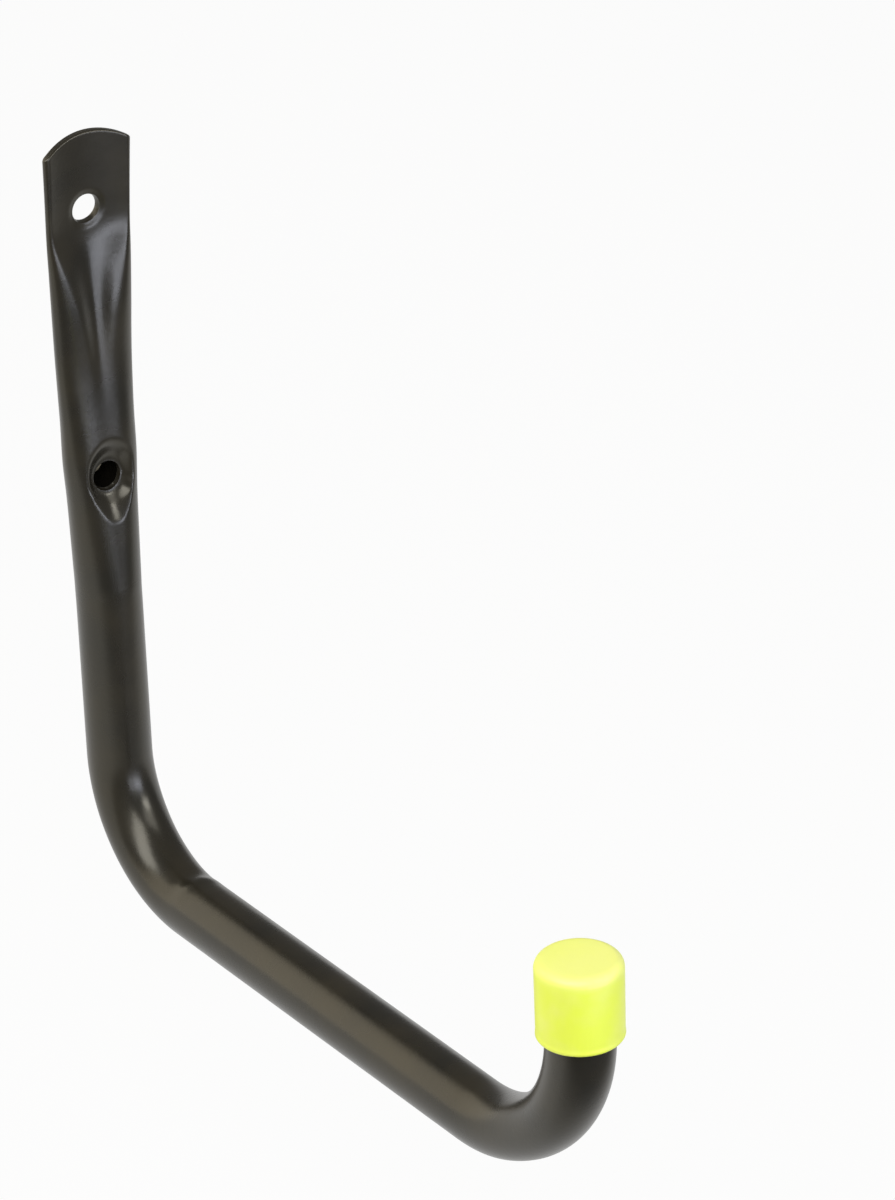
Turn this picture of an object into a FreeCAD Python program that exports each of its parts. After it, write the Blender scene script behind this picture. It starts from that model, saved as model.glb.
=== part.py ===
"""Garage utility hook: a steel tube flattened to a screw plate, bent twice into a J and closed by a soft end cap.

The wall is the plane Y = 0 and the hook stands out of it along -Y, with +Z up and X across.
The origin lies on the wall, half way between the two screw holes. All lengths are in millimetres.
"""
import FreeCAD, Part
import math
import os
import Sketcher

V = FreeCAD.Vector

# Every size that a designer would set, with what it measures
SIZES = [
    ("tube_diameter", 20.0, "outside diameter of the round tube"),
    ("tube_wall", 1.2, "wall thickness of the tube"),
    ("plate_width", 29.4, "flattened end, measured across along its curve"),
    ("plate_length", 27.0, "flattened end, from its top corners down to where the taper starts"),
    ("plate_dish", 2.1, "how far the plate's side edges stand forward of its middle"),
    ("crown_rise", 4.6, "how far the plate's rounded top edge rises above its corners"),
    ("taper_length", 117.0, "from the plate down to the full round tube"),
    ("seam_gap", 0.5, "gap between the two walls where the tube's inside begins to open"),
    ("facet_angle", 45.0, "half angle of the round tube that the taper's flat front runs into"),
    ("post_length", 56.0, "straight round tube between the taper and the first bend"),
    ("first_bend_radius", 38.0, "centre line radius of the bend under the post"),
    ("first_bend_angle", 90.0, "degrees turned by the bend under the post"),
    ("arm_length", 144.0, "straight tube between the two bends"),
    ("second_bend_radius", 50.0, "centre line radius of the bend at the front"),
    ("second_bend_angle", 90.0, "degrees turned by the bend at the front"),
    ("bare_tip", 0.4, "straight tube that shows between the second bend and the end cap"),
    ("hole_spacing", 85.0, "between the centres of the two screw holes"),
    ("hole_diameter", 8.7, "screw hole, through both walls"),
    ("hole_below_corners", 20.0, "upper screw hole's centre below the plate's top corners"),
    ("dimple_depth", 3.7, "how far the dimple's bottom lies behind the tube's front"),
    ("dimple_land", 1.1, "flat ring round the lower screw hole at the bottom of its dimple"),
    ("dimple_flare", 2.0, "how much wider the dimple's mouth is than its bottom, all round"),
    ("dimple_crease", 3.8, "how much further the dimple runs down into its pointed crease"),
    ("cap_wall", 2.45, "thickness of the cap round the tube"),
    ("cap_length", 24.0, "height of the end cap"),
    ("cap_roof", 2.9, "thickness of the cap over the tube's end"),
    ("cap_clearance", 0.05, "between the tube and the cap's bore"),
    ("cap_top_rounding", 2.8, "radius of the cap's upper edge"),
    ("cap_lip_bevel", 0.8, "width of the bevel on the cap's lower edge"),
]

# Lengths that follow from the sizes, as the spreadsheet's readers write them
CORNER_LEVEL = "(Sizes.hole_below_corners + Sizes.hole_spacing / 2)"
LEAN = "atan((Sizes.tube_diameter / 2 - Sizes.tube_wall) / Sizes.taper_length)"
CROWN_RADIUS = "(((Sizes.plate_width / 2) ^ 2 + Sizes.crown_rise ^ 2) / (2 * Sizes.crown_rise))"
CAP_BORE = "(Sizes.tube_diameter / 2 + Sizes.cap_clearance)"


def make_sheet(doc):
    """Puts every size in the spreadsheet under its own name."""
    sheet = doc.addObject("Spreadsheet::Sheet", "Sizes")
    for row, (name, value, meaning) in enumerate(SIZES, start=1):
        sheet.set(f"A{row}", meaning)
        sheet.set(f"B{row}", str(value))
        sheet.setAlias(f"B{row}", name)
    doc.recompute()
    return sheet


def outline(points):
    """A closed wire of four arcs, each through three of the eight points given in order round it."""
    arcs = []
    for first in range(0, 8, 2):
        through = [points[(first + step) % 8] for step in range(3)]
        arcs.append(Part.Arc(*through).toShape())
    return Part.Wire(arcs)


def strip_points(thickness, half_flat, curve_radius, back, level):
    """Eight outline points of a tube flattened to a strip and dished about an axis in front of it."""
    middle = curve_radius - thickness / 2
    half_angle = half_flat / middle
    centre = back - curve_radius

    def at(radius, angle):
        return V(radius * math.sin(angle), centre + radius * math.cos(angle), level)

    edge = V(math.cos(half_angle), -math.sin(half_angle), 0) * (thickness / 2)
    front = curve_radius - thickness
    return [
        at(front, -half_angle), at(front, 0), at(front, half_angle), at(middle, half_angle) + edge,
        at(curve_radius, half_angle), at(curve_radius, 0), at(curve_radius, -half_angle),
        at(middle, -half_angle) + V(-edge.x, edge.y, 0),
    ]


def ring_points(radius, centre, lean, facet_angle):
    """Eight points of the round tube's outline, square to the leaning post and in the strip's order."""
    facet = math.radians(facet_angle)
    forward = V(0, -math.cos(lean), math.sin(lean))

    def at(angle):
        return centre + (V(1, 0, 0) * math.sin(angle) + forward * math.cos(angle)) * radius

    return [
        at(-facet), at(0), at(facet), at(math.pi / 2),
        at(math.pi - facet), at(math.pi), at(math.pi + facet), at(-math.pi / 2),
    ]


def drop_points(radius, crease, y, level):
    """Eight points of a dimple's outline: round above and at the sides, drawn out to a rounded crease below."""
    shoulder = math.radians(30)
    foot = level - radius - crease
    toe = 0.22 * radius
    side = V(radius * math.cos(shoulder), y, level - radius * math.sin(shoulder))
    heel = V(toe, y, foot + 0.6 * toe)
    flank = (side + heel) * 0.5 + V(0.1 * radius, 0, -0.05 * radius)

    def mirrored(point):
        return V(-point.x, point.y, point.z)

    return [side, V(0, y, level + radius), mirrored(side), mirrored(flank),
            mirrored(heel), V(0, y, foot), heel, flank]


def add_outline(doc, name, points):
    """Adds the closed wire through the points, for a loft or a sweep to use."""
    section = doc.addObject("Part::Feature", name)
    section.Shape = outline(points)
    return section


def add_loft(doc, name, *sections):
    """Adds the solid of straight lines between two sections."""
    loft = doc.addObject("Part::Loft", name)
    loft.Sections = list(sections)
    loft.Solid = True
    loft.Ruled = True
    return loft


def add_rod(doc, name, radius, start, lean, path):
    """Adds the solid that a circle makes along the whole path."""
    circle = doc.addObject("Part::Circle", f"{name}_section")
    circle.setExpression("Radius", radius)
    circle.Placement = FreeCAD.Placement(start, FreeCAD.Rotation(V(1, 0, 0), 180 - math.degrees(lean)))
    sweep = doc.addObject("Part::Sweep", name)
    sweep.Sections = [circle]
    sweep.Spine = (path, [f"Edge{index}" for index in range(1, 6)])
    sweep.Solid = True
    return sweep


def add_boolean(doc, kind, name, base, tool):
    """Adds a cut or a fuse of two objects."""
    result = doc.addObject(kind, name)
    result.Base = base
    result.Tool = tool
    return result


def bind(sketch, name, constraint, expression):
    """Adds a constraint under a name and ties it to the spreadsheet."""
    index = sketch.addConstraint(constraint)
    sketch.renameConstraint(index, name)
    sketch.setExpression(f"Constraints.{name}", expression)


def plan_route(size, start, lean):
    """Walks the centre line in the plane X = 0: a list of straight runs and bends, and the heading at its end."""
    heading = -math.pi / 2 - lean
    position = V(start.y, start.z, 0)
    runs = (
        (size["post_length"], size["first_bend_radius"], size["first_bend_angle"]),
        (size["arm_length"], size["second_bend_radius"], size["second_bend_angle"]),
        (size["cap_length"] - size["cap_roof"] + size["bare_tip"], 0, 0),
    )
    pieces = []
    for length, radius, angle in runs:
        end = position + V(math.cos(heading), math.sin(heading), 0) * length
        pieces.append(Part.LineSegment(position, end))
        position = end
        if radius:
            outward = heading + math.pi / 2
            centre = position - V(math.cos(outward), math.sin(outward), 0) * radius
            turned = outward - math.radians(angle)
            pieces.append(Part.ArcOfCircle(Part.Circle(centre, V(0, 0, 1), radius), turned, outward))
            heading -= math.radians(angle)
            position = centre + V(math.cos(turned), math.sin(turned), 0) * radius
    return pieces, position, heading


def add_centre_line(doc, pieces):
    """The tube's centre line as a sketch: post, bend, arm, bend and tip, each tangent to the next."""
    sketch = doc.addObject("Sketcher::SketchObject", "centre_line")
    sketch.Placement = FreeCAD.Placement(V(0, 0, 0), FreeCAD.Rotation(V(1, 1, 1), 120))
    post, first_bend, arm, second_bend, tip = [sketch.addGeometry(piece) for piece in pieces]

    # A line starts at point 1 and ends at point 2. The arcs run the other way, so the path enters one at point 2
    sketch.addConstraint([
        Sketcher.Constraint("Tangent", post, 2, first_bend, 2),
        Sketcher.Constraint("Tangent", first_bend, 1, arm, 1),
        Sketcher.Constraint("Tangent", arm, 2, second_bend, 2),
        Sketcher.Constraint("Tangent", second_bend, 1, tip, 1),
    ])
    start = pieces[0].StartPoint
    bind(sketch, "start_out", Sketcher.Constraint("DistanceX", post, 1, -1, 1, -start.x),
         f"Sizes.tube_diameter / 2 * cos({LEAN})")
    bind(sketch, "start_down", Sketcher.Constraint("DistanceY", post, 1, -1, 1, -start.y),
         f"Sizes.plate_length + Sizes.taper_length - {CORNER_LEVEL}")
    bind(sketch, "post_run", Sketcher.Constraint("Distance", post, pieces[0].length()), "Sizes.post_length")
    bind(sketch, "first_radius", Sketcher.Constraint("Radius", first_bend, pieces[1].Radius),
         "Sizes.first_bend_radius")
    bind(sketch, "arm_run", Sketcher.Constraint("Distance", arm, pieces[2].length()), "Sizes.arm_length")
    bind(sketch, "second_radius", Sketcher.Constraint("Radius", second_bend, pieces[3].Radius),
         "Sizes.second_bend_radius")
    bind(sketch, "tip_run", Sketcher.Constraint("Distance", tip, pieces[4].length()),
         "Sizes.cap_length - Sizes.cap_roof + Sizes.bare_tip")
    turned = (
        ("post_heading", post, pieces[0], ""),
        ("arm_heading", arm, pieces[2], " - Sizes.first_bend_angle * 1 deg"),
        ("tip_heading", tip, pieces[4], " - (Sizes.first_bend_angle + Sizes.second_bend_angle) * 1 deg"),
    )
    for name, line, piece, turn in turned:
        along = piece.EndPoint - piece.StartPoint
        bind(sketch, name, Sketcher.Constraint("Angle", line, math.atan2(along.y, along.x)),
             f"-90 deg - {LEAN}{turn}")
    return sketch


def add_dimple(doc, name, size, wall):
    """The dimple's space from its bottom outwards. With a wall it is the boss that the dimple makes inside."""
    level = -size["hole_spacing"] / 2
    strip = 2 * size["tube_wall"]
    down = (size["hole_below_corners"] + size["hole_spacing"] - size["plate_length"]) / size["taper_length"]
    front = strip + (size["tube_diameter"] - strip) * down
    bottom = front - size["dimple_depth"] - wall
    clear = front + size["tube_diameter"] / 2
    sections = []
    for place, y, share in (("bottom", bottom, 0), ("mouth", clear, (clear - bottom) / size["dimple_depth"])):
        radius = size["hole_diameter"] / 2 + size["dimple_land"] + size["dimple_flare"] * share + wall
        crease = size["dimple_crease"] * share
        sections.append(add_outline(doc, f"{name}_{place}", drop_points(radius, crease, -y, level)))
    return add_loft(doc, name, *sections)


def add_screw_hole(doc, name, side):
    """A drill along Y through both walls, above the origin for side 1 and below it for side -1."""
    drill = doc.addObject("Part::Cylinder", name)
    drill.setExpression("Radius", "Sizes.hole_diameter / 2")
    drill.setExpression("Height", "3 * Sizes.tube_diameter")
    drill.Placement = FreeCAD.Placement(V(0, 0, 0), FreeCAD.Rotation(V(1, 0, 0), 90))
    drill.setExpression("Placement.Base.y", "Sizes.tube_diameter")
    drill.setExpression("Placement.Base.z", f"{side} * Sizes.hole_spacing / 2")
    return drill


def add_crown_cutter(doc):
    """What the rounded top edge leaves behind: a block less a cylinder whose top is the crown."""
    block = doc.addObject("Part::Box", "crown_block")
    block.setExpression("Length", "2 * Sizes.plate_width")
    block.setExpression("Width", "2 * Sizes.tube_diameter")
    block.setExpression("Height", "2 * Sizes.crown_rise")
    block.setExpression("Placement.Base.x", "-Sizes.plate_width")
    block.setExpression("Placement.Base.y", "-Sizes.tube_diameter")
    block.setExpression("Placement.Base.z", CORNER_LEVEL)
    crown = doc.addObject("Part::Cylinder", "crown_round")
    crown.setExpression("Radius", CROWN_RADIUS)
    crown.setExpression("Height", "4 * Sizes.tube_diameter")
    crown.Placement = FreeCAD.Placement(V(0, 0, 0), FreeCAD.Rotation(V(1, 0, 0), 90))
    crown.setExpression("Placement.Base.y", "2 * Sizes.tube_diameter")
    crown.setExpression("Placement.Base.z", f"{CORNER_LEVEL} + Sizes.crown_rise - {CROWN_RADIUS}")
    return add_boolean(doc, "Part::Cut", "crown_cutter", block, crown)


def make_tube(doc, size, start, lean, centre_line):
    """The steel tube: flattened end, taper and bent round tube, with its bore, dimple and screw holes."""
    radius = size["tube_diameter"] / 2
    wall = size["tube_wall"]
    plate_foot = size["hole_below_corners"] + size["hole_spacing"] / 2 - size["plate_length"]

    # Two walls pressed together into a strip, dished so that its edges stand forward
    half_flat = size["plate_width"] / 2 - wall
    dish_radius = half_flat ** 2 / (2 * size["plate_dish"])
    plate_section = add_outline(doc, "plate_section",
                                strip_points(2 * wall, half_flat, dish_radius, 0, plate_foot))
    round_section = add_outline(doc, "round_section",
                                ring_points(radius, start, lean, size["facet_angle"]))

    # The walls part a little below the plate, where the bore begins
    opening = size["seam_gap"] / (size["tube_diameter"] - 2 * wall)
    seam_level = plate_foot - opening * size["taper_length"]
    seam_section = add_outline(doc, "seam_section",
                               strip_points(size["seam_gap"], half_flat * (1 - opening), dish_radius - wall,
                                            -wall, seam_level))
    bore_section = add_outline(doc, "bore_section",
                               ring_points(radius - wall, start, lean, size["facet_angle"]))

    plate = doc.addObject("Part::Extrusion", "plate")
    plate.Base = plate_section
    plate.DirMode = "Custom"
    plate.Dir = V(0, 0, 1)
    plate.Solid = True
    plate.setExpression("LengthFwd", "Sizes.plate_length + Sizes.crown_rise")
    outside = doc.addObject("Part::MultiFuse", "outside")
    outside.Shapes = [
        plate,
        add_loft(doc, "taper", plate_section, round_section),
        add_rod(doc, "bent_outside", "Sizes.tube_diameter / 2", start, lean, centre_line),
    ]
    bore = add_boolean(doc, "Part::Fuse", "bore",
                       add_loft(doc, "taper_bore", seam_section, bore_section),
                       add_rod(doc, "bent_bore", "Sizes.tube_diameter / 2 - Sizes.tube_wall",
                               start, lean, centre_line))

    # The dimple pushes the front wall in, so that the screw's head sinks below the tube's face
    boss = add_dimple(doc, "boss", size, wall)
    dimple = add_dimple(doc, "dimple", size, 0)
    open_bore = add_boolean(doc, "Part::Cut", "open_bore", bore, boss)
    walls = add_boolean(doc, "Part::Cut", "walls", outside, open_bore)
    dimpled = add_boolean(doc, "Part::Cut", "dimpled", walls, dimple)
    holes = doc.addObject("Part::MultiFuse", "holes")
    holes.Shapes = [add_screw_hole(doc, "upper_hole", 1), add_screw_hole(doc, "lower_hole", -1)]
    drilled = add_boolean(doc, "Part::Cut", "drilled", dimpled, holes)
    tube = add_boolean(doc, "Part::Cut", "bent_tube", drilled, add_crown_cutter(doc))
    tube.Label = "bent_tube"
    return tube


def make_end_cap(doc, size, tip_end, tip_heading):
    """The end cap: a cup turned about its own axis, open below, with a rounded rim above."""
    body = doc.addObject("PartDesign::Body", "end_cap")
    body.Label = "end_cap"
    sketch = body.newObject("Sketcher::SketchObject", "cap_profile")
    plane = next(item for item in body.Origin.OriginFeatures if item.Role == "XZ_Plane")
    sketch.AttachmentSupport = [(plane, "")]
    sketch.MapMode = "FlatFace"
    bore = size["tube_diameter"] / 2 + size["cap_clearance"]
    outside = bore + size["cap_wall"]
    height = size["cap_length"]
    roof = height - size["cap_roof"]
    top_round = size["cap_top_rounding"]
    bevel = size["cap_lip_bevel"]
    shapes = [
        Part.LineSegment(V(bore, 0, 0), V(outside - bevel, 0, 0)),
        Part.LineSegment(V(outside - bevel, 0, 0), V(outside, bevel, 0)),
        Part.LineSegment(V(outside, bevel, 0), V(outside, height - top_round, 0)),
        Part.ArcOfCircle(Part.Circle(V(outside - top_round, height - top_round, 0), V(0, 0, 1), top_round),
                         0, math.pi / 2),
        Part.LineSegment(V(outside - top_round, height, 0), V(0, height, 0)),
        Part.LineSegment(V(0, height, 0), V(0, roof, 0)),
        Part.LineSegment(V(0, roof, 0), V(bore, roof, 0)),
        Part.LineSegment(V(bore, roof, 0), V(bore, 0, 0)),
    ]
    lip, slant, side, top_arc, top, axis, ceiling, bore_side = [sketch.addGeometry(item) for item in shapes]
    sketch.addConstraint([
        Sketcher.Constraint("Coincident", lip, 2, slant, 1),
        Sketcher.Constraint("Coincident", slant, 2, side, 1),
        Sketcher.Constraint("Tangent", side, 2, top_arc, 1),
        Sketcher.Constraint("Tangent", top_arc, 2, top, 1),
        Sketcher.Constraint("Coincident", top, 2, axis, 1),
        Sketcher.Constraint("Coincident", axis, 2, ceiling, 1),
        Sketcher.Constraint("Coincident", ceiling, 2, bore_side, 1),
        Sketcher.Constraint("Coincident", bore_side, 2, lip, 1),
        Sketcher.Constraint("PointOnObject", lip, 1, -1),
        Sketcher.Constraint("Horizontal", lip),
        Sketcher.Constraint("Vertical", side),
        Sketcher.Constraint("Horizontal", top),
        Sketcher.Constraint("PointOnObject", axis, 1, -2),
        Sketcher.Constraint("PointOnObject", axis, 2, -2),
        Sketcher.Constraint("Horizontal", ceiling),
        Sketcher.Constraint("Vertical", bore_side),
    ])
    bind(sketch, "bore", Sketcher.Constraint("DistanceX", -1, 1, ceiling, 2, bore), CAP_BORE)
    bind(sketch, "outside", Sketcher.Constraint("DistanceX", -1, 1, side, 2, outside),
         f"{CAP_BORE} + Sizes.cap_wall")
    bind(sketch, "height", Sketcher.Constraint("DistanceY", -1, 1, top, 2, height), "Sizes.cap_length")
    bind(sketch, "roof", Sketcher.Constraint("DistanceY", ceiling, 1, top, 2, height - roof), "Sizes.cap_roof")
    bind(sketch, "top_round", Sketcher.Constraint("Radius", top_arc, top_round), "Sizes.cap_top_rounding")
    bind(sketch, "bevel_in", Sketcher.Constraint("DistanceX", slant, 1, slant, 2, bevel), "Sizes.cap_lip_bevel")
    bind(sketch, "bevel_up", Sketcher.Constraint("DistanceY", slant, 1, slant, 2, bevel), "Sizes.cap_lip_bevel")
    turned = body.newObject("PartDesign::Revolution", "cap_turned")
    turned.Profile = sketch
    turned.ReferenceAxis = (sketch, ["V_Axis"])
    turned.Angle = 360
    body.Tip = turned

    # The cap's roof stands on the tube's open end and leans with it
    upward = V(0, math.cos(tip_heading), math.sin(tip_heading))
    foot = V(0, tip_end.x, tip_end.y) - upward * roof
    body.Placement = FreeCAD.Placement(foot, FreeCAD.Rotation(V(0, 0, 1), upward))
    return body


def export(doc, parts):
    """Stops on anything that failed to build, and writes one file for each part."""
    for item in doc.Objects:
        if "Invalid" in item.State or "Error" in item.State:
            raise RuntimeError(f"{item.Name} failed: {item.State}")
    os.makedirs("parts", exist_ok=True)
    for part in parts:
        shape = part.Shape
        if shape.isNull() or not shape.isValid() or len(shape.Solids) != 1:
            raise RuntimeError(f"{part.Label} is not one sound solid")
        shape.exportStep(f"parts/{part.Label}.step")
        box = shape.BoundBox
        print(f"{part.Label}: {shape.Volume:.0f} mm3, X {box.XMin:.2f} to {box.XMax:.2f}, "
              f"Y {box.YMin:.2f} to {box.YMax:.2f}, Z {box.ZMin:.2f} to {box.ZMax:.2f}")


def main():
    doc = FreeCAD.newDocument("utility_hook")
    sheet = make_sheet(doc)
    size = {name: float(sheet.get(name)) for name, value, meaning in SIZES}

    # The post leans away from the wall by as much as the taper's middle moves out of the flat plate
    lean = math.atan((size["tube_diameter"] / 2 - size["tube_wall"]) / size["taper_length"])
    round_level = size["hole_below_corners"] + size["hole_spacing"] / 2 - size["plate_length"] - size["taper_length"]
    start = V(0, -size["tube_diameter"] / 2 * math.cos(lean), round_level)
    pieces, tip_end, tip_heading = plan_route(size, start, lean)
    centre_line = add_centre_line(doc, pieces)
    doc.recompute()
    tube = make_tube(doc, size, start, lean, centre_line)
    cap = make_end_cap(doc, size, tip_end, tip_heading)
    doc.recompute()
    export(doc, [tube, cap])


main()
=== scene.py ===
"""Garage utility hook: a painted steel tube, pressed flat for two screws, bent into a J and capped.

The wall is the plane Y = 0, the hook stands out of it along -Y, and +Z is up. Blender's lengths are metres.
The pressed end is worked out in millimetres, because that is how such a tool is drawn.
"""
import math

import bpy
from mathutils import Matrix, Vector


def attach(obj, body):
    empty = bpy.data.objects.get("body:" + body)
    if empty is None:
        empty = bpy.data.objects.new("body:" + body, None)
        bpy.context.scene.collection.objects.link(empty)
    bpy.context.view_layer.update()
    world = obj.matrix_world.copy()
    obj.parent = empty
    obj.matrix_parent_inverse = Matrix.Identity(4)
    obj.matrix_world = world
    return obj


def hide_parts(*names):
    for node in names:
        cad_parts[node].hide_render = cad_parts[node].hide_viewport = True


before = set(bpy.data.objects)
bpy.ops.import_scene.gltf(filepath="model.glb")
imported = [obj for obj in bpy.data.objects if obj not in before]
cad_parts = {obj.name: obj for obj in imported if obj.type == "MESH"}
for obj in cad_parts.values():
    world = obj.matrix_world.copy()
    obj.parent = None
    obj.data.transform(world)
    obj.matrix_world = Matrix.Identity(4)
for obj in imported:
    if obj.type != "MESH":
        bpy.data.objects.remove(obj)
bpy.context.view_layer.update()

bl_info = {
    "name": "Garage utility hook",
    "version": (1, 0, 0),
    "blender": (4, 5, 0),
    "location": "View3D > Sidebar > Hook",
    "description": "Dresses the hook's frame with its painted tube, its soft end cap and a plain stage",
    "category": "Object",
}

MM = 0.001

# Levels above the origin, in millimetres
CORNERS = 62.5
PLATE_FOOT = 35.5
ROUND_LEVEL = -81.5
UPPER_HOLE = 42.5
LOWER_HOLE = -42.5

# The tube's two walls together, in millimetres
PLATE_THICKNESS = 2.4

# The tube's skin has this many points round it, and its rings on the pressed end lie this far apart
AROUND = 112
RISE = 0.75

# Brightness of the room that the hook's front faces, where 1 is white
ROOM_GREY = 0.2

# What the lamps face
HOOK_MIDDLE = Vector((0, -0.1, -0.05))

# Edges that meet at less than this many degrees are shaded smooth
SMOOTH_ANGLE = 40

# The bender's mark lies from behind the arm's start to past it, and this near to the arm's middle line, in
# metres. The length of arm that it is on is drawn finely
CRIMP_BACK, CRIMP_RUN, CRIMP_REACH = -0.020, 0.015, 0.012

# The mark itself, inside the first bend: how high, where along the arm and how long, in millimetres
PINCH = (-0.4, -2.5, 3.2)
BUMP = (0.35, 2.5, 2.4)

# A bend's outer wall sinks over this many degrees from each of its ends, and its sides bulge by this share
# of that depth
SAG_RUN_IN = 32
SAG_BULGE = 0.25

# Points on each arc of the pressed outline, before they are spread evenly round the skin
ARC_STEPS = 16

# The crests and the back's flat end this far inside the sides, and are left out where they are this narrow
SIDE_MARGIN = 0.1
NARROWEST = 0.01

# How steeply the plate widens towards its corners
CORNER_CURVE = 1.4

# The crown begins at this level, and its arc is struck through points this far from the middle
CROWN_START = 50
CROWN_HALF_WIDTH = 14.7

# The sides stand out beside the dimple: by this share, this far above its hole, over this length
SIDE_BULGE = (0.035, 5, 9)

# The dimple's flat land round its hole, its reach beside the hole and above it, and its point below
DIMPLE_LAND, DIMPLE_SIDE, DIMPLE_TOP, DIMPLE_TIP = 4.7, 8.4, 13.5, 14.0

# Its lower ramp: how far above the hole's middle it begins, its run in, its half width and its soft edge
RAMP_START, RAMP_RUN_IN = 1, 6
RAMP_HALF_WIDTH = 7.1
RAMP_SOFTNESS = 0.1

# The punch's ring round the upper hole: its depth, where it begins and how wide its slope is
RING_DEPTH, RING_START, RING_WIDTH = 0.45, 4.4, 2.2

# The plate's rim, where the outside turns over into the seam: how far below the corners, and how far in
RIM = (
    (0.5, 0.0), (0.34, 0.04), (0.18, 0.14), (0.06, 0.3),
    (0.0, 0.5), (0.0, 0.85), (0.02, 1.05), (0.18, 1.2),
)

# The bore ends this far below the plate's foot, where the walls meet
SEAM_START = 1

# The pressed end, from the top down. Each row is a level, then how far from the middle the front's crests
# lie, how far they stand before the hollow between them, how round they are, and for the back its flat's
# half width, how far that is dished, and how far out the section is widest
PRESSED = (
    (70.0, 13.25, 2.00, 0.0, 13.25, 2.00, 3.20),
    (39.0, 13.25, 2.00, 0.0, 13.25, 2.00, 3.20),
    (33.0, 12.40, 2.20, 0.3, 12.80, 1.85, 3.40),
    (28.0, 11.00, 2.45, 0.8, 12.00, 1.60, 3.70),
    (23.0, 9.80, 2.50, 1.0, 11.40, 1.30, 3.90),
    (12.5, 6.90, 2.20, 1.0, 10.20, 0.80, 4.30),
    (0.0, 4.90, 1.00, 1.0, 8.80, 0.40, 4.60),
    (-7.0, 4.20, 0.40, 1.0, 8.00, 0.20, 5.00),
    (-18.0, 3.80, 0.05, 1.0, 7.00, 0.05, 5.70),
    (-45.0, 2.60, 0.00, 1.0, 4.20, 0.00, 7.40),
    (-82.0, 0.00, 0.00, 1.0, 0.00, 0.00, 9.975),
)

# A screw hole's punch runs from behind the wall to its front, both measured from the wall, in metres. It
# widens by a little from one distance to another, both measured from the face that it cuts
PUNCH_BACK = -0.002
UPPER_PUNCH = {"front": 0.006, "widening": 0.0003, "start": -0.0008, "end": -0.0003}
LOWER_PUNCH = {"front": 0.020, "widening": 0.0005, "start": -0.0006, "end": 0.0001}

# The end cap, in metres. Its lip from the inside over to the outside: how far out from the bore, or in from
# the side, and how high. Then the flat roof's rings, and the first ring of any flat end
CAP_SLACK = 0.00005
CAP_EDGE = 0.0003
CAP_BORE_RING = 0.012
LIP_INSIDE = ((0, 0.0004), (0.0003, 0.0001), (0.0007, 0))
LIP_OUTSIDE = (
    (0.0006, 0), (0.0002, 0.0001), (0, 0.0004), (0, 0.0009),
    (0.00005, 0.0013), (0.00012, 0.0017), (0.00012, 0.0022), (0.0001, 0.003),
)
ROOF_RINGS = (0.0075, 0.0056, 0.004)
INNERMOST = 0.001

# Level of the cap's roof, and how far below it the vinyl is painted paler as a highlight, in metres
ROOF_LEVEL = -0.0835
ROOF_HIGHLIGHT_FADE = 0.004

# The paper's size and level, and the two distances along Y between which it fades to the room's grey
FLOOR_SIZE = 16
FLOOR_LEVEL = -0.30
FADE_END, FADE_START = -0.42, -0.18

# Each lamp's name, azimuth, elevation, distance, width, height, power and colour. The hook's front faces a
# darker room with two small strip lights in it
LAMPS = (
    ("window_left", -66, 48, 2.0, 2.6, 1.15, 46, "#ffffff"),
    ("window_right", 32, 42, 1.6, 1.0, 0.5, 3.5, "#ffffff"),
    ("strip_right", 32, 22, 1.6, 0.6, 0.36, 5.5, "#ffffff"),
    ("strip_low", 10, -4, 1.15, 0.85, 0.26, 5.5, "#dce4ff"),
    ("wall_left", -142, 18, 2.0, 2.2, 1.7, 18, "#fff5e2"),
)

# Where the camera stands, and how far it is turned, tilted down and rolled, in degrees
CAMERA_PLACE = (-0.7533, -1.1934, 0.7667)
CAMERA_TURN, CAMERA_DROP, CAMERA_ROLL = 36.64, 31.31, 0.91
CAMERA_LENS = 163.5
CAMERA_SENSOR = 36.0


def tell(name, meaning, value, **extra):
    """A number that a user may change, in the panel."""
    return bpy.props.FloatProperty(name=name, description=meaning, default=value, precision=4, **extra)


def tell_colour(name, meaning, hex_value):
    """A colour that a user may change, in the panel."""
    return bpy.props.FloatVectorProperty(name=name, description=meaning, default=linear(hex_value)[:3],
                                         subtype="COLOR", min=0, max=1)


def linear(hex_value):
    """An sRGB hex colour as linear red, green, blue and alpha."""
    values = []
    for place in (1, 3, 5):
        part = int(hex_value[place:place + 2], 16) / 255
        values.append(part / 12.92 if part <= 0.04045 else ((part + 0.055) / 1.055) ** 2.4)
    return (*values, 1.0)


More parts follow.
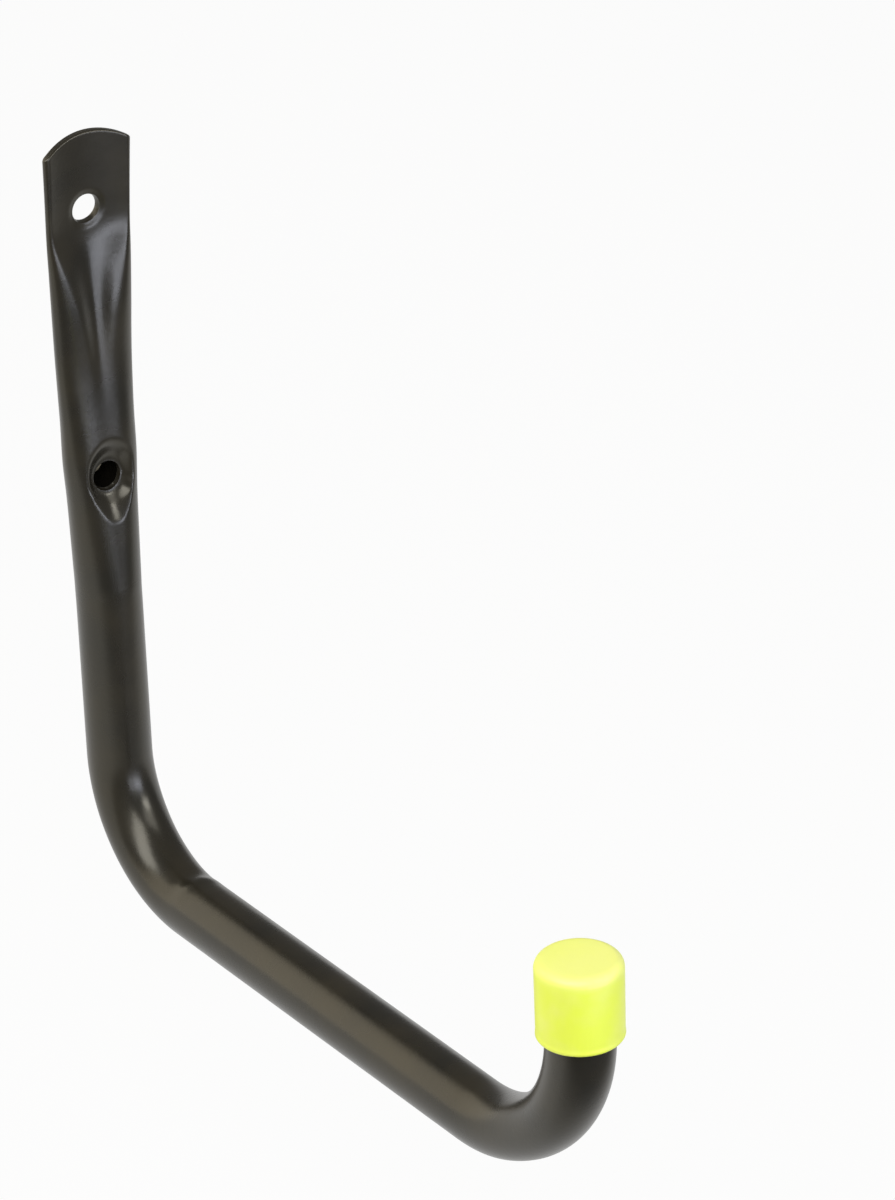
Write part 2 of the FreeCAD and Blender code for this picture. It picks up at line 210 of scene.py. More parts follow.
class HookSizes(bpy.types.PropertyGroup):
    """Sizes of the tube and its cap, in metres."""
    tube_diameter: tell("Tube diameter", "Outside diameter of the round tube", 0.020, unit="LENGTH")
    tube_wall: tell("Tube wall", "Wall thickness of the tube", 0.0012, unit="LENGTH")
    plate_half_width: tell("Plate half width", "Half of the plate's foot", 0.0142, unit="LENGTH")
    corner_spread: tell("Corner spread", "How far out the corners are beyond that", 0.00065, unit="LENGTH")
    crown_rise: tell("Crown rise", "Rise of the rounded top edge above its corners", 0.0046, unit="LENGTH")
    post_length: tell("Post length", "Straight round tube under the taper", 0.056, unit="LENGTH")
    first_radius: tell("First bend", "Centre line radius of the bend under the post", 0.038, unit="LENGTH")
    arm_length: tell("Arm length", "Straight tube between the bends", 0.144, unit="LENGTH")
    second_radius: tell("Second bend", "Centre line radius of the bend at the front", 0.050, unit="LENGTH")
    tip_length: tell("Tip length", "Straight tube after the second bend", 0.0215, unit="LENGTH")
    first_sag: tell("First bend's sag", "How far its outer wall has sunk", 0.0008, unit="LENGTH")
    second_sag: tell("Second bend's sag", "How far its outer wall has sunk", 0.0010, unit="LENGTH")
    hole_radius: tell("Hole radius", "Radius of both screw holes", 0.00435, unit="LENGTH")
    dimple_depth: tell("Dimple depth", "Depth of the lower screw's dimple", 0.0037, unit="LENGTH")
    cap_radius: tell("Cap radius", "Outside radius of the end cap", 0.0125, unit="LENGTH")
    cap_height: tell("Cap height", "Height of the end cap", 0.024, unit="LENGTH")
    cap_roof: tell("Cap roof", "Thickness of the cap over the tube's end", 0.0029, unit="LENGTH")
    cap_rounding: tell("Cap rounding", "Radius of the cap's upper edge", 0.0028, unit="LENGTH")


class HookColours(bpy.types.PropertyGroup):
    """Colours of the paint and the vinyl, and the floor that the hook is shown on."""
    paint: tell_colour("Paint", "Satin brown-black enamel", "#1d1b16")
    paint_warm: tell_colour("Thin paint", "Where the enamel is thinner and browner", "#27231a")
    # The scuff colour is rubbed enamel on sharp edges, and also a painted highlight along them
    scuff_and_highlight: tell_colour("Scuff", "Enamel rubbed pale by handling", "#62625e")
    vinyl: tell_colour("Vinyl", "Soft yellow green cap", "#e9f650")
    # Pale vinyl is the vinyl's own thin patches, and also the painted highlight on the cap's roof
    vinyl_pale_and_highlight: tell_colour("Pale vinyl", "Where the vinyl is thin or handled", "#f2f490")
    floor: tell_colour("Floor", "Pale paper under the hook", "#c8c8c4")


# ---------------------------------------------------------------- modelling


def clear_selection():
    """An operator acts on all that is selected, so nothing is."""
    if bpy.context.object and bpy.context.object.mode == "EDIT":
        bpy.ops.object.mode_set(mode="OBJECT")
    bpy.ops.object.select_all(action="DESELECT")


def only(piece):
    """Leaves one object selected and active."""
    clear_selection()
    piece.select_set(True)
    bpy.context.view_layer.objects.active = piece


def apply_modifier(piece, modifier):
    """Applies a modifier to its own piece."""
    only(piece)
    bpy.ops.object.modifier_apply(modifier=modifier.name)


def lathe(name, around, profile):
    """A closed round form about Z, drawn up ring by ring through (radius, height), in metres."""
    clear_selection()
    (radius, height), *rest = profile
    bpy.ops.mesh.primitive_circle_add(vertices=around, radius=radius, fill_type="NGON",
                                      location=(0, 0, height))
    piece = bpy.context.object
    piece.name = name
    bpy.ops.object.mode_set(mode="EDIT")
    bpy.ops.mesh.select_all(action="SELECT")
    bpy.ops.mesh.select_mode(type="EDGE")
    for next_radius, next_height in rest:
        bpy.ops.mesh.extrude_region_move(
            TRANSFORM_OT_translate={"value": (0, 0, next_height - height)})
        ratio = next_radius / radius
        bpy.ops.transform.resize(value=(ratio, ratio, 1), center_override=(0, 0, next_height))
        radius, height = next_radius, next_height
    bpy.ops.mesh.select_all(action="SELECT")
    bpy.ops.mesh.normals_make_consistent(inside=False)
    bpy.ops.object.mode_set(mode="OBJECT")
    bpy.ops.object.transform_apply(location=True, rotation=True, scale=True)
    return piece


def place(piece, location, rotation):
    """Moves and turns a piece, and puts the move into its mesh."""
    only(piece)
    piece.location = location
    piece.rotation_euler = rotation
    bpy.ops.object.transform_apply(location=True, rotation=True, scale=True)


# ---------------------------------------------------------------- the pressed end


def ease(value):
    """0 below 0, 1 above 1 and a smooth step between them."""
    value = min(max(value, 0.0), 1.0)
    return value * value * (3 - 2 * value)


def read_row(level):
    """The row of PRESSED at a level, straight between its neighbours."""
    for above, below in zip(PRESSED, PRESSED[1:]):
        if level >= below[0]:
            share = (above[0] - level) / (above[0] - below[0])
            return [a + (b - a) * share for a, b in zip(above, below)][1:]
    return list(PRESSED[-1][1:])


def pressed_row(level):
    """The row at a level, averaged over a few millimetres so that no corner of the table shows."""
    rows = [read_row(level + step) for step in range(-4, 5)]
    return [sum(values) / len(rows) for values in zip(*rows)]


def opened(level):
    """How far the tube has opened: 0 on the plate and 1 where it is round, with both corners softened."""
    steps = [(PLATE_FOOT - level + step) / (PLATE_FOOT - ROUND_LEVEL) for step in range(-3, 4)]
    return sum(min(max(step, 0.0), 1.0) for step in steps) / len(steps)


def half_section(level, inset, diameter, plate_half, spread):
    """Right half of the outline at a level: (x, y) from the back's middle to the front's middle."""
    crest, crest_rise, crest_round, back, back_dish, widest = pressed_row(level)
    share = opened(level)
    if share >= 1:
        crest = crest_rise = back = back_dish = 0
        widest = diameter / 2
    side = plate_half + (diameter / 2 - plate_half) * share - inset
    side += spread * max((level - PLATE_FOOT) / (CORNERS - PLATE_FOOT), 0) ** CORNER_CURVE
    front = PLATE_THICKNESS + (diameter - PLATE_THICKNESS) * share - inset
    crest = min(crest, side - SIDE_MARGIN)
    back = min(back, side - SIDE_MARGIN)

    def hollow(x):
        """How far the front stands before its middle."""
        reach = x / crest
        wave = 0.5 - 0.5 * math.cos(math.pi * reach)
        return crest_rise * ((1 - crest_round) * reach ** 2 + crest_round * wave)

    shares = [step / ARC_STEPS for step in range(ARC_STEPS + 1)]
    points = []
    if back > NARROWEST:
        points += [(back * along, -inset - back_dish * along ** 2) for along in shares[:-1]]
    for along in shares:
        turn = math.pi / 2 * along
        points.append((back + (side - back) * math.sin(turn),
                       -widest + (widest - inset - back_dish) * math.cos(turn)))
    for along in shares[1:]:
        turn = math.pi / 2 * along
        points.append((crest + (side - crest) * math.cos(turn),
                       -widest - (front + crest_rise - widest) * math.sin(turn)))
    if crest > NARROWEST:
        points += [(crest * along, -front - hollow(crest * along)) for along in shares[-2::-1]]
    return points


def even_points(points, count):
    """Points at even distances along a run of points, both ends included."""
    lengths = [0.0]
    for first, second in zip(points, points[1:]):
        lengths.append(lengths[-1] + math.dist(first, second))
    spread = []
    index = 0
    for step in range(count + 1):
        goal = lengths[-1] * step / count
        while index < len(points) - 2 and lengths[index + 1] < goal:
            index += 1
        share = (goal - lengths[index]) / max(lengths[index + 1] - lengths[index], 1e-9)
        (x0, y0), (x1, y1) = points[index], points[index + 1]
        spread.append((x0 + (x1 - x0) * share, y0 + (y1 - y0) * share))
    return spread


def dimple(x, level, depth):
    """How far the front is pushed in: a round bowl at the lower hole, and below it a ramp up to a point."""
    away = math.hypot(x, level - LOWER_HOLE)
    below = LOWER_HOLE - level
    upward = ease(-math.atan2(below, abs(x)) / (math.pi / 2))
    reach = DIMPLE_SIDE + (DIMPLE_TOP - DIMPLE_SIDE) * upward
    bowl = ease((reach - away) / (reach - DIMPLE_LAND))
    fall = min((DIMPLE_TIP - below) / (DIMPLE_TIP - DIMPLE_LAND), 1)
    ramp = ease((below + RAMP_START) / RAMP_RUN_IN) * fall
    ramp = max(ramp - (x / RAMP_HALF_WIDTH) ** 2, 0)
    ramp = min(ramp ** 2 / (ramp + RAMP_SOFTNESS), 1)
    return depth * (1 - (1 - bowl) * (1 - ramp))


def ring_round_hole(x, level):
    """The punch's faint ring round the upper hole, as a depth."""
    away = math.hypot(x, level - UPPER_HOLE)
    return RING_DEPTH * (1 - ease((away - RING_START) / RING_WIDTH))


def crown_rise_at(x, crown):
    """How far the top edge rises above its corners."""
    radius = (CROWN_HALF_WIDTH ** 2 + crown ** 2) / (2 * crown)
    return math.sqrt(radius ** 2 - x ** 2) - (radius - crown)


def rings_up_to(top):
    """The levels of the rings from the round tube up to a level."""
    return [ROUND_LEVEL + RISE * index for index in range(int((top - ROUND_LEVEL) / RISE) + 1)]


def press_rows(levels, insets, around, sizes):
    """Right half of the outline at each level. At the last, back and front are one line."""
    across = [length / MM for length in (sizes.tube_diameter, sizes.plate_half_width, sizes.corner_spread)]
    rows = [even_points(half_section(level, inset, *across), around // 2)
            for level, inset in zip(levels, insets)]
    rows[-1] = [((x + front_x) / 2, (y + front_y) / 2)
                for (x, y), (front_x, front_y) in zip(rows[-1], rows[-1][::-1])]
    return rows


def press(piece, sizes, route, around, outer, bore):
    """Moves the rings above the round tube into the flattened, dished and dimpled end."""
    diameter = sizes.tube_diameter / MM
    wall = sizes.tube_wall / MM
    crown = sizes.crown_rise / MM
    bulge, bulge_above, bulge_reach = SIDE_BULGE
    forward = Vector((0, -math.cos(route.lean), math.sin(route.lean)))
    skins = [(levels, press_rows(levels, insets, around, sizes))
             for levels, insets in (outer, (bore, [wall] * len(bore)))]
    for vertex in piece.data.vertices:
        away = vertex.co - route.start
        row = round(away.dot(route.up) / (RISE * MM))
        if row < 0:
            continue
        outwards = Vector((away.x, -away.dot(forward), 0))
        inside = outwards.length < sizes.tube_diameter / 2 - wall * MM / 2
        levels, rows = skins[1 if inside else 0]
        turn = math.atan2(outwards.x, outwards.y)
        column = round(turn / (2 * math.pi) * around)
        x, y = rows[row][abs(column)]
        level = levels[row]
        x = math.copysign(x, turn)
        x *= 1 + bulge * math.exp(-((level - LOWER_HOLE - bulge_above) / bulge_reach) ** 2)
        z = level - (y + diameter / 2) * math.tan(route.lean) * opened(level)
        z += crown_rise_at(x, crown) * ease((level - CROWN_START) / (CORNERS - CROWN_START))
        if abs(column) > around // 4:
            y += dimple(x, z, sizes.dimple_depth / MM)
            if not inside:
                y += ring_round_hole(x, z)
        vertex.co = Vector((x, y, z)) * MM


class Route:
    """The tube's centre line: where the round tube starts, how the post leans, and the runs after it."""

    def __init__(self, sizes):
        taper = (PLATE_FOOT - ROUND_LEVEL) * MM
        self.lean = math.atan((sizes.tube_diameter / 2 - sizes.tube_wall) / taper)
        self.start = Vector((0, -sizes.tube_diameter / 2 * math.cos(self.lean), ROUND_LEVEL * MM))
        self.up = Vector((0, math.sin(self.lean), math.cos(self.lean)))
        out = Vector((0, -self.up.z, self.up.y))
        self.post_end = self.start - self.up * sizes.post_length
        self.arm_start = self.post_end + (out - self.up) * sizes.first_radius
        self.arm_heading = out
        self.arm_end = self.arm_start + out * sizes.arm_length
        self.tip = self.arm_end + (out + self.up) * sizes.second_radius + self.up * sizes.tip_length

        # Length, steps, bend radius and bend steps of each run from the round section to the tip
        self.runs = (
            (sizes.post_length, 14, sizes.first_radius, 36),
            (CRIMP_RUN, 18, 0, 0),
            (sizes.arm_length - CRIMP_RUN, 12, sizes.second_radius, 40),
            (sizes.tip_length, 4, 0, 0),
        )


def draw_tube(sizes, route, around, outer_steps, bore_steps):
    """Draws one skin: down the outside from plate to tip, in over the tip's edge and back up the bore."""
    clear_selection()
    bpy.ops.mesh.primitive_circle_add(vertices=around, radius=sizes.tube_diameter / 2,
                                      location=route.start + route.up * (outer_steps * RISE * MM),
                                      rotation=(-route.lean, 0, 0))
    tube = bpy.context.object
    tube.name = "painted_hook_tube"
    bpy.ops.object.mode_set(mode="EDIT")
    bpy.ops.mesh.select_all(action="SELECT")
    bpy.ops.mesh.select_mode(type="EDGE")
    bpy.ops.mesh.extrude_repeat(steps=outer_steps, offset=-route.up * (RISE * MM))
    heading = -route.up
    centre = route.start.copy()
    for length, steps, bend_radius, bend_steps in route.runs:
        bpy.ops.mesh.extrude_repeat(steps=steps, offset=heading * (length / steps))
        centre += heading * length
        if bend_radius:
            turned = Vector((0, heading.z, -heading.y))
            pivot = centre + turned * bend_radius
            bpy.ops.mesh.spin(steps=bend_steps, angle=math.pi / 2, center=pivot, axis=(1, 0, 0))
            centre = pivot + heading * bend_radius
            heading = turned

    # Over the cut edge into the bore, and back with the bends turned the other way and a third of the rings
    inside = (sizes.tube_diameter / 2 - sizes.tube_wall) / (sizes.tube_diameter / 2)
    bpy.ops.mesh.extrude_region_move()
    bpy.ops.transform.resize(value=(inside, inside, inside), center_override=centre)
    heading = -heading
    for length, steps, bend_radius, bend_steps in reversed(route.runs):
        if bend_radius:
            turned = Vector((0, -heading.z, heading.y))
            pivot = centre + turned * bend_radius
            bpy.ops.mesh.spin(steps=bend_steps, angle=-math.pi / 2, center=pivot, axis=(1, 0, 0))
            centre = pivot + heading * bend_radius
            heading = turned
        steps = max(steps // 3, 1)
        bpy.ops.mesh.extrude_repeat(steps=steps, offset=heading * (length / steps))
        centre += heading * length
    bpy.ops.mesh.extrude_repeat(steps=bore_steps, offset=route.up * (RISE * MM))
    only(tube)
    bpy.ops.object.transform_apply(location=True, rotation=True, scale=True)
    return tube


def crimp(piece, route):
    """The bender's former leaves a pinch and then a small bump inside the first bend."""
    for vertex in piece.data.vertices:
        away = vertex.co - route.arm_start
        along = away.dot(route.arm_heading)
        across = away - route.arm_heading * along
        if across.length > CRIMP_REACH or not CRIMP_BACK < along < CRIMP_RUN:
            continue
        facing = max(across.normalized().dot(route.up), 0) ** 3
        push = sum(height * math.exp(-((along / MM - middle) / length) ** 2)
                   for height, middle, length in (BUMP, PINCH))
        vertex.co += route.up * (push * facing * MM)


def sag(piece, sizes, start, heading, toward_pivot, radius, depth):
    """A bend's outer wall sinks and its sides bulge, because the tube is bent with nothing inside it."""
    for vertex in piece.data.vertices:
        away = vertex.co - start - toward_pivot * radius
        turn = math.degrees(math.atan2(away.dot(heading), -away.dot(toward_pivot)))
        if not 0 < turn < 90:
            continue
        share = ease(turn / SAG_RUN_IN) * ease((90 - turn) / SAG_RUN_IN)
        outward = Vector((0, away.y, away.z))
        out = outward.length - radius
        facing = max(out, 0) / math.hypot(out, away.x)
        vertex.co -= outward.normalized() * (depth * share * facing ** 2)
        vertex.co.x *= 1 + SAG_BULGE * depth * share / (sizes.tube_diameter / 2)


def punch(piece, level, radius, face, front, widening, start, end):
    """Cuts a screw hole and rounds its front edge, where the face lies this far out from the wall."""
    wide = radius + widening
    profile = ((radius, PUNCH_BACK), (radius, face + start), (wide, face + end), (wide, front))
    cutter = lathe("punch", 64, profile)
    place(cutter, (0, 0, level * MM), (math.pi / 2, 0, 0))
    cut = piece.modifiers.new("screw_hole", "BOOLEAN")
    cut.operation = "DIFFERENCE"
    cut.solver = "EXACT"
    cut.object = cutter
    apply_modifier(piece, cut)
    only(cutter)
    bpy.ops.object.delete()


class HOOK_OT_tube(bpy.types.Operator):
    """Draws the painted steel tube with its pressed end, dimple, screw holes and bore"""
    bl_idname = "hook.make_tube"
    bl_label = "Make the painted tube"

    def execute(self, context):
        sizes = context.scene.hook_sizes
        colours = context.scene.hook_colours
        route = Route(sizes)

        # The outside's last rings turn over the plate's rim into the seam
        levels = rings_up_to(CORNERS - RIM[0][0])
        insets = [0.0] * len(levels) + [inset for drop, inset in RIM]
        levels += [CORNERS - drop for drop, inset in RIM]
        bore = rings_up_to(PLATE_FOOT - SEAM_START)
        tube = draw_tube(sizes, route, AROUND, len(levels) - 1, len(bore) - 1)
        press(tube, sizes, route, AROUND, (levels, insets), bore)
        out = route.arm_heading
        sag(tube, sizes, route.post_end, -route.up, out, sizes.first_radius, sizes.first_sag)
        sag(tube, sizes, route.arm_end, out, route.up, sizes.second_radius, sizes.second_sag)
        crimp(tube, route)
        bpy.ops.object.mode_set(mode="EDIT")
        bpy.ops.mesh.select_all(action="SELECT")
        bpy.ops.mesh.remove_doubles(threshold=1e-6)
        bpy.ops.mesh.normals_make_consistent(inside=False)
        bpy.ops.object.mode_set(mode="OBJECT")

        face = PLATE_THICKNESS * MM
        punch(tube, UPPER_HOLE, sizes.hole_radius, face, **UPPER_PUNCH)
        face += (sizes.tube_diameter - face) * opened(LOWER_HOLE) - sizes.dimple_depth
        punch(tube, LOWER_HOLE, sizes.hole_radius, face, **LOWER_PUNCH)
        only(tube)
        bpy.ops.object.shade_smooth_by_angle(angle=math.radians(SMOOTH_ANGLE))
        tube.data.materials.append(make_enamel(colours))
        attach(tube, "root")
        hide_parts("bent_tube")
        return {"FINISHED"}


class HOOK_OT_cap(bpy.types.Operator):
    """Draws the soft end cap with its rounded top edge and thin lip"""
    bl_idname = "hook.make_cap"
    bl_label = "Make the soft end cap"

    def execute(self, context):
        sizes = context.scene.hook_sizes
        bore = sizes.tube_diameter / 2 + CAP_SLACK
        side = sizes.cap_radius
        top = sizes.cap_height
        rounding = sizes.cap_rounding
        ceiling = top - sizes.cap_roof
        profile = [(INNERMOST, ceiling), (bore - CAP_EDGE, ceiling), (bore, ceiling - CAP_EDGE),
                   (bore, CAP_BORE_RING)]
        profile += [(bore + out, height) for out, height in LIP_INSIDE]
        profile += [(side - back, height) for back, height in LIP_OUTSIDE]

        # Six rings up the side, which comes out to its full radius, and ten over the rounded edge
        back, height = LIP_OUTSIDE[-1]
        rise = top - rounding - height
        profile += [(side - back * (1 - step / 6), height + rise * step / 6) for step in range(1, 7)]
        for step in range(1, 11):
            turn = math.pi / 2 * step / 10
            profile.append((side - rounding + rounding * math.cos(turn),
                            top - rounding + rounding * math.sin(turn)))
        profile += [(radius, top) for radius in (*ROOF_RINGS, INNERMOST)]
        cap = lathe("soft_end_cap", 96, profile)
        route = Route(sizes)
        place(cap, route.tip - route.up * ceiling, (-route.lean, 0, 0))
        bpy.ops.object.shade_smooth_by_angle(angle=math.radians(SMOOTH_ANGLE))
        cap.data.materials.append(make_vinyl(context.scene.hook_colours))
        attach(cap, "root")
        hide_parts("end_cap")
        return {"FINISHED"}


# ---------------------------------------------------------------- materials


def add_node(tree, kind, settings=None, links=None):
    """Adds a node with its settings, and links its inputs, by name or number, to other nodes' outputs."""
    node = tree.nodes.new(kind)
    for name, value in (settings or {}).items():
        if isinstance(name, int) or name in node.inputs:
            node.inputs[name].default_value = value
        else:
            setattr(node, name, value)
    for name, output in (links or {}).items():
        tree.links.new(output, node.inputs[name])
    return node


def new_material(name):
    """An empty node material with its output and the object's own coordinates."""
    material = bpy.data.materials.new(name)
    material.use_nodes = True
    tree = material.node_tree
    tree.nodes.clear()
    output = add_node(tree, "ShaderNodeOutputMaterial")
    coordinates = add_node(tree, "ShaderNodeTexCoord").outputs["Object"]
    return material, tree, output, coordinates


def make_enamel(colours):
    """Satin black-brown enamel, dipped and baked on drawn steel tube.

    A thin hard film: a soft shine along bends and creases, fine orange peel, and browner where it is thin.
    """
    material, tree, output, coordinates = new_material("satin_brown_black_enamel")

    # The film runs thick and thin over about 20 mm
    clouds = add_node(tree, "ShaderNodeTexNoise", {"Scale": 50.0, "Detail": 3.0}, {"Vector": coordinates})
    thin = add_node(tree, "ShaderNodeMapRange", {"From Min": 0.35, "From Max": 0.65},
                    {"Value": clouds.outputs["Fac"]})
    film = add_node(tree, "ShaderNodeMix",
                    {"data_type": "RGBA", 6: (*colours.paint, 1), 7: (*colours.paint_warm, 1)},
                    {0: thin.outputs["Result"]})

    # Pale on sharp edges, partly rubbed enamel and partly a painted highlight, broken up over 4 mm so that
    # no edge is evenly pale
    edge = add_node(tree, "ShaderNodeNewGeometry").outputs["Pointiness"]
    sharp = add_node(tree, "ShaderNodeMapRange", {"From Min": 0.53, "From Max": 0.62}, {"Value": edge})
    patches = add_node(tree, "ShaderNodeTexNoise", {"Scale": 260.0, "Detail": 4.0}, {"Vector": coordinates})
    broken = add_node(tree, "ShaderNodeMapRange", {"From Min": 0.42, "From Max": 0.62, "To Max": 0.35},
                      {"Value": patches.outputs["Fac"]})
    edge_scuff_and_highlight = add_node(tree, "ShaderNodeMath", {"operation": "MULTIPLY"},
                      {0: sharp.outputs["Result"], 1: broken.outputs["Result"]})
    base = add_node(tree, "ShaderNodeMix", {"data_type": "RGBA", 7: (*colours.scuff_and_highlight, 1)},
                    {0: edge_scuff_and_highlight.outputs["Value"], 6: film.outputs[2]})
    rough = add_node(tree, "ShaderNodeMapRange",
                     {"From Min": 0.3, "From Max": 0.7, "To Min": 0.25, "To Max": 0.31},
                     {"Value": clouds.outputs["Fac"]})

    # Orange peel is about 1.5 mm from crest to crest
    peel = add_node(tree, "ShaderNodeTexNoise", {"Scale": 650.0, "Detail": 2.0}, {"Vector": coordinates})
    bump = add_node(tree, "ShaderNodeBump", {"Strength": 0.12, "Distance": 0.0002},
                    {"Height": peel.outputs["Fac"]})
    shader = add_node(tree, "ShaderNodeBsdfPrincipled", {"IOR": 1.55, "Specular Tint": linear("#fffaea")},
                      {"Base Color": base.outputs[2], "Roughness": rough.outputs["Result"],
                       "Normal": bump.outputs["Normal"]})
    tree.links.new(shader.outputs["BSDF"], output.inputs["Surface"])
    return material


def make_vinyl(colours):
    """Dip-moulded soft PVC: an even, slightly waxy colour with faint lines down its side, and a painted
    highlight on its roof.
    """
    material, tree, output, coordinates = new_material("dip_moulded_soft_vinyl")
    stretched = add_node(tree, "ShaderNodeMapping", {"Scale": (1.0, 1.0, 0.08)}, {"Vector": coordinates})
    lines = add_node(tree, "ShaderNodeTexNoise", {"Scale": 520.0, "Detail": 2.0},
                     {"Vector": stretched.outputs["Vector"]})
    clouds = add_node(tree, "ShaderNodeTexNoise", {"Scale": 120.0, "Detail": 2.0}, {"Vector": coordinates})
    pale = add_node(tree, "ShaderNodeMapRange", {"From Min": 0.4, "From Max": 0.7, "To Max": 0.3},
                    {"Value": clouds.outputs["Fac"]})

    # The roof is painted palest, as a painted highlight where the light from above falls most
    height = add_node(tree, "ShaderNodeSeparateXYZ", {}, {"Vector": coordinates}).outputs["Z"]
    roof = add_node(tree, "ShaderNodeMapRange",
                    {"From Min": ROOF_LEVEL - ROOF_HIGHLIGHT_FADE, "From Max": ROOF_LEVEL, "To Max": 0.85},
                    {"Value": height})
    pale_and_highlight = add_node(tree, "ShaderNodeMath", {"operation": "MAXIMUM"},
                      {0: pale.outputs["Result"], 1: roof.outputs["Result"]})
    base = add_node(tree, "ShaderNodeMix",
                    {"data_type": "RGBA", 6: (*colours.vinyl, 1), 7: (*colours.vinyl_pale_and_highlight, 1)},
                    {0: pale_and_highlight.outputs["Value"]})
    bump = add_node(tree, "ShaderNodeBump", {"Strength": 0.2, "Distance": 0.0002},
                    {"Height": lines.outputs["Fac"]})
    shader = add_node(tree, "ShaderNodeBsdfPrincipled",
                      {"IOR": 1.53, "Roughness": 0.42, "Subsurface Weight": 0.2, "Subsurface Scale": 0.003,
                       "Subsurface Radius": (1.0, 1.0, 0.3)},
                      {"Base Color": base.outputs[2], "Normal": bump.outputs["Normal"]})
    tree.links.new(shader.outputs["BSDF"], output.inputs["Surface"])
    return material


def make_paper(colours):
    """Matt pale paper. The camera and reflections see it lit evenly, with a little of the hook's shadow."""
    material, tree, output, coordinates = new_material("pale_paper")
    path = add_node(tree, "ShaderNodeLightPath")
    seen = add_node(tree, "ShaderNodeMath", {"operation": "MAXIMUM"},
                    {0: path.outputs["Is Camera Ray"], 1: path.outputs["Is Glossy Ray"]})
    through = add_node(tree, "ShaderNodeMath", {"operation": "MAXIMUM"},
                       {0: seen.outputs["Value"], 1: path.outputs["Is Transmission Ray"]})
    share = add_node(tree, "ShaderNodeMapRange", {"To Max": 0.94}, {"Value": through.outputs["Value"]})

    # It fades to the room's grey in front of the hook
    depth = add_node(tree, "ShaderNodeSeparateXYZ", {}, {"Vector": coordinates}).outputs["Y"]
    fade = add_node(tree, "ShaderNodeMapRange",
                    {"interpolation_type": "SMOOTHSTEP", "From Min": FADE_END, "From Max": FADE_START,
                     "To Min": ROOM_GREY, "To Max": 1.0}, {"Value": depth})
    tone = add_node(tree, "ShaderNodeMix", {"data_type": "RGBA", 6: (0, 0, 0, 1), 7: (*colours.floor, 1)},
                    {0: fade.outputs["Result"]})
    paper = add_node(tree, "ShaderNodeBsdfDiffuse", {}, {"Color": tone.outputs[2]})
    glow = add_node(tree, "ShaderNodeEmission", {"Color": (1, 1, 1, 1)},
                    {"Strength": fade.outputs["Result"]})
    both = add_node(tree, "ShaderNodeMixShader", {},
                    {0: share.outputs["Result"], 1: paper.outputs["BSDF"], 2: glow.outputs["Emission"]})

    # From below it is clear, so that the hook's underside can be looked at
    under = add_node(tree, "ShaderNodeNewGeometry").outputs["Backfacing"]
    clear = add_node(tree, "ShaderNodeBsdfTransparent")
    one_sided = add_node(tree, "ShaderNodeMixShader", {},
                         {0: under, 1: both.outputs["Shader"], 2: clear.outputs["BSDF"]})
    tree.links.new(one_sided.outputs["Shader"], output.inputs["Surface"])
    return material


# ---------------------------------------------------------------- stage


def add_lamp(name, azimuth, elevation, distance, width, height, power, colour):
    """A soft box that faces the hook. Azimuth 0 is straight out from the wall, and more is to the right."""
    clear_selection()
    turn, climb = math.radians(azimuth), math.radians(elevation)
    away = Vector((math.sin(turn) * math.cos(climb), -math.cos(turn) * math.cos(climb), math.sin(climb)))
    bpy.ops.object.light_add(type="AREA", location=HOOK_MIDDLE + away * distance,
                             rotation=away.to_track_quat("Z", "Y").to_euler())
    lamp = bpy.context.object
    lamp.name = name
    lamp.data.shape = "RECTANGLE"
    lamp.data.size = width
    lamp.data.size_y = height
    lamp.data.energy = power
    lamp.data.color = linear(colour)[:3]
    lamp.visible_camera = False


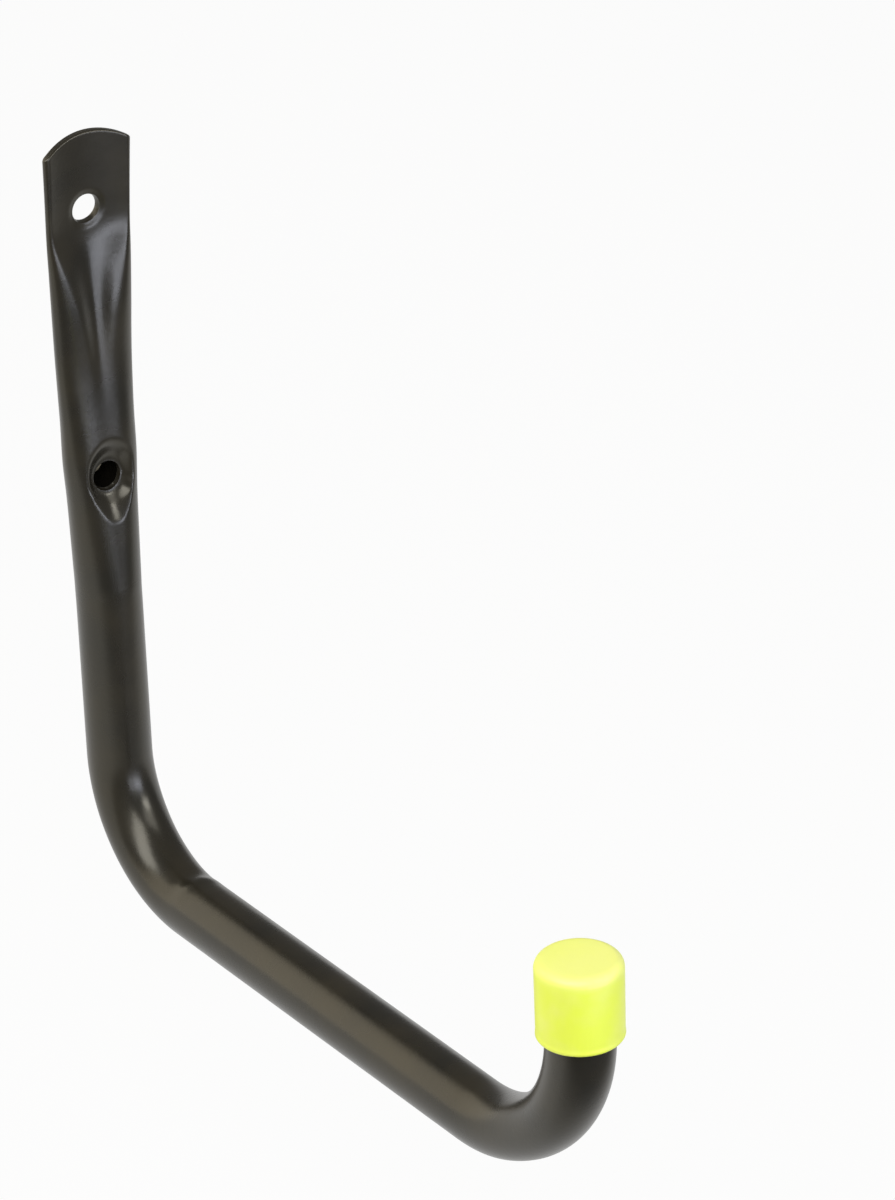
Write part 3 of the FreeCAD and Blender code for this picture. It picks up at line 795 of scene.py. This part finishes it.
class HOOK_OT_stage(bpy.types.Operator):
    """Sets the floor, the soft studio light and the camera"""
    bl_idname = "hook.make_stage"
    bl_label = "Make the stage"

    def execute(self, context):
        scene = context.scene
        clear_selection()
        bpy.ops.mesh.primitive_plane_add(size=FLOOR_SIZE, location=(0, 0, FLOOR_LEVEL))
        floor = context.object
        floor.name = "paper_floor"
        bpy.ops.object.transform_apply(location=True, rotation=True, scale=True)
        floor.data.materials.append(make_paper(scene.hook_colours))

        for lamp in LAMPS:
            add_lamp(*lamp)

        world = bpy.data.worlds.new("studio")
        scene.world = world
        world.use_nodes = True
        world.node_tree.nodes["Background"].inputs["Color"].default_value = linear("#ffffff")
        world.node_tree.nodes["Background"].inputs["Strength"].default_value = ROOM_GREY

        self.add_camera(scene)
        scene.view_settings.view_transform = "Standard"
        return {"FINISHED"}

    def add_camera(self, scene):
        """Stands to the hook's left, well above it and far off, as the photo was taken."""
        turn, drop, roll = (math.radians(angle) for angle in (CAMERA_TURN, CAMERA_DROP, CAMERA_ROLL))
        ahead = math.cos(drop)
        forward = Vector((math.sin(turn) * ahead, math.cos(turn) * ahead, -math.sin(drop)))
        level = forward.cross(Vector((0, 0, 1))).normalized()
        right = level * math.cos(roll) + level.cross(forward) * math.sin(roll)
        upward = right.cross(forward)
        clear_selection()
        bpy.ops.object.camera_add(location=CAMERA_PLACE)
        camera = bpy.context.object
        camera.rotation_euler = Matrix((right, upward, -forward)).transposed().to_euler()
        camera.data.sensor_width = CAMERA_SENSOR
        camera.data.lens = CAMERA_LENS
        scene.camera = camera


class HOOK_PT_panel(bpy.types.Panel):
    """Lists the hook's sizes, colours and steps"""
    bl_label = "Garage utility hook"
    bl_idname = "HOOK_PT_panel"
    bl_space_type = "VIEW_3D"
    bl_region_type = "UI"
    bl_category = "Hook"

    def draw(self, context):
        layout = self.layout
        for group in (context.scene.hook_sizes, context.scene.hook_colours):
            box = layout.box()
            for name in group.bl_rna.properties.keys():
                if name not in ("rna_type", "name"):
                    box.prop(group, name)
        for step in STEPS:
            layout.operator(step.bl_idname)


STEPS = (HOOK_OT_tube, HOOK_OT_cap, HOOK_OT_stage)
CLASSES = (HookSizes, HookColours, *STEPS, HOOK_PT_panel)


def register():
    for item in CLASSES:
        bpy.utils.register_class(item)
    bpy.types.Scene.hook_sizes = bpy.props.PointerProperty(type=HookSizes)
    bpy.types.Scene.hook_colours = bpy.props.PointerProperty(type=HookColours)


def unregister():
    del bpy.types.Scene.hook_colours
    del bpy.types.Scene.hook_sizes
    for item in reversed(CLASSES):
        bpy.utils.unregister_class(item)


def main():
    register()
    bpy.ops.hook.make_tube()
    bpy.ops.hook.make_cap()
    bpy.ops.hook.make_stage()
    clear_selection()


if __name__ == "__main__":
    main()
